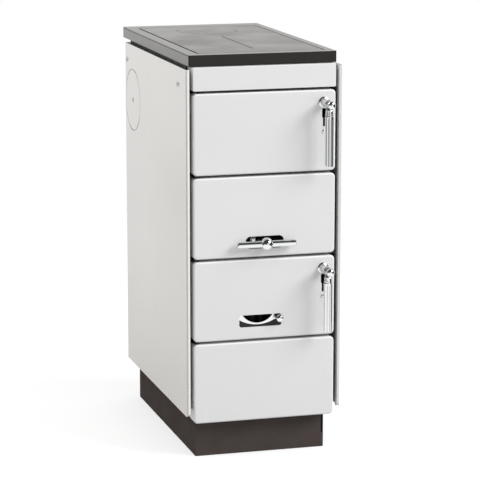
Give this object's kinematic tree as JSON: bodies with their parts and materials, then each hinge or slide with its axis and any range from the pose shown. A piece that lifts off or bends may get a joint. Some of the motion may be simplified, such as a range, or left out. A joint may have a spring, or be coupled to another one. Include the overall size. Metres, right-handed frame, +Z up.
{
  "type": "wood-burning kitchen stove",
  "caption": "Narrow free-standing wood-burning kitchen stove with hinged doors, riddling grate, ash pan, fuel drawer, cast hob with a round lid, and a rear flue spigot.",
  "frame": {"origin": "on the floor, midway across the width, 300 mm behind the front edges of the side panels", "axes": "+X to the right seen from the front, -Y out of the front (doors and drawer), +Z up"},
  "size_m": [0.3382, 0.6575, 0.85],
  "materials": {
    "enamel_white": "glossy white enamel",
    "enamel_panel": "satin white enamel",
    "enamel_brown": "matte dark brown enamel",
    "hob_enamel": "satin dark grey paint",
    "hob_cast": "ground cast iron",
    "steel_black": "matte black heat-proof paint",
    "cast_black": "rough casting",
    "firebrick": null,
    "bright_chrome": "polished chrome plate",
    "zinc_steel": "zinc-plated steel",
    "slide_black": "matte black paint",
    "ash_steel": "bare rolled steel with a thin oil coat",
    "seal_rope": "glass-fibre rope"
  },
  "bodies": {
    "casing": {"plinth_frame": "enamel_brown", "plinth_front": "enamel_brown", "body_shell": "steel_black", "front_frame": "steel_black", "ash_shelf": "steel_black", "firebox_floor": "cast_black", "brick_left": "firebrick", "brick_right": "firebrick", "brick_back": "firebrick", "brick_front": "firebrick", "flue_partition": "steel_black", "flue_collar": "cast_black", "flue_cover_left": "cast_black", "flue_cover_right": "cast_black", "flue_bolts": "zinc_steel", "back_cover": "steel_black", "side_panel_left": "enamel_panel", "side_panel_right": "enamel_panel", "panel_spacers": "zinc_steel", "casing_screws": "zinc_steel", "fascia": "enamel_white", "firebox_cover": "enamel_white", "hinge_plates": "steel_black", "hinge_pins": "zinc_steel", "latch_keepers": "zinc_steel", "drawer_runners": "zinc_steel", "hob_frame": "hob_enamel", "hob_seal": "seal_rope"},
    "hob_plate": {"hob_plate": "hob_cast"},
    "hob_lid": {"hob_lid": "hob_cast"},
    "fuel_door": {"fuel_door_front": "enamel_white", "fuel_door_liner": "steel_black", "fuel_door_seal": "seal_rope", "fuel_door_shield": "cast_black", "fuel_door_bushes": "zinc_steel", "fuel_door_rosette": "bright_chrome", "fuel_door_screw": "bright_chrome"},
    "fuel_latch": {"fuel_handle": "bright_chrome", "fuel_spindle": "bright_chrome", "fuel_cam": "zinc_steel"},
    "ash_door": {"ash_door_front": "enamel_white", "ash_door_liner": "steel_black", "ash_door_seal": "seal_rope", "ash_door_bushes": "zinc_steel", "ash_door_rosette": "bright_chrome", "ash_door_screw": "bright_chrome", "air_guides": "zinc_steel"},
    "ash_latch": {"ash_handle": "bright_chrome", "ash_spindle": "bright_chrome", "ash_cam": "zinc_steel"},
    "air_slide": {"air_slide": "slide_black", "air_lip": "bright_chrome", "air_knob": "bright_chrome"},
    "grate": {"grate": "cast_black", "grate_rod": "zinc_steel", "grate_handle": "bright_chrome"},
    "drawer": {"drawer_front": "enamel_white", "drawer_box": "zinc_steel"},
    "ash_pan": {"ash_pan": "ash_steel"}
  },
  "joints": [
    {"name": "hob_plate_lift", "type": "slide", "parent": "casing", "child": "hob_plate", "axis": [0, 0, 1], "range_m": [0, 0.08]},
    {"name": "hob_lid_lift", "type": "slide", "parent": "hob_plate", "child": "hob_lid", "axis": [0, 0, 1], "range_m": [0, 0.08]},
    {"name": "fuel_door_hinge", "type": "hinge", "parent": "casing", "child": "fuel_door", "pos_m": [-0.1435, -0.2865, 0.6875], "axis": [0, 0, -1], "range_deg": [0, 95]},
    {"name": "fuel_latch_turn", "type": "hinge", "parent": "fuel_door", "child": "fuel_latch", "pos_m": [0.127, -0.3005, 0.746], "axis": [0, 1, 0], "range_deg": [-20, 75]},
    {"name": "ash_door_hinge", "type": "hinge", "parent": "casing", "child": "ash_door", "pos_m": [-0.1435, -0.2865, 0.3385], "axis": [0, 0, -1], "range_deg": [0, 95]},
    {"name": "ash_latch_turn", "type": "hinge", "parent": "ash_door", "child": "ash_latch", "pos_m": [0.127, -0.3005, 0.397], "axis": [0, 1, 0], "range_deg": [-20, 75]},
    {"name": "air_slide_move", "type": "slide", "parent": "ash_door", "child": "air_slide", "axis": [-1, 0, 0], "range_m": [0, 0.055]},
    {"name": "grate_pull", "type": "slide", "parent": "casing", "child": "grate", "axis": [0, -1, 0], "range_m": [0, 0.04]},
    {"name": "drawer_slide", "type": "slide", "parent": "casing", "child": "drawer", "axis": [0, -1, 0], "range_m": [0, 0.4]},
    {"name": "ash_pan_slide", "type": "slide", "parent": "casing", "child": "ash_pan", "axis": [0, -1, 0], "range_m": [0, 0.02]}
  ]
}
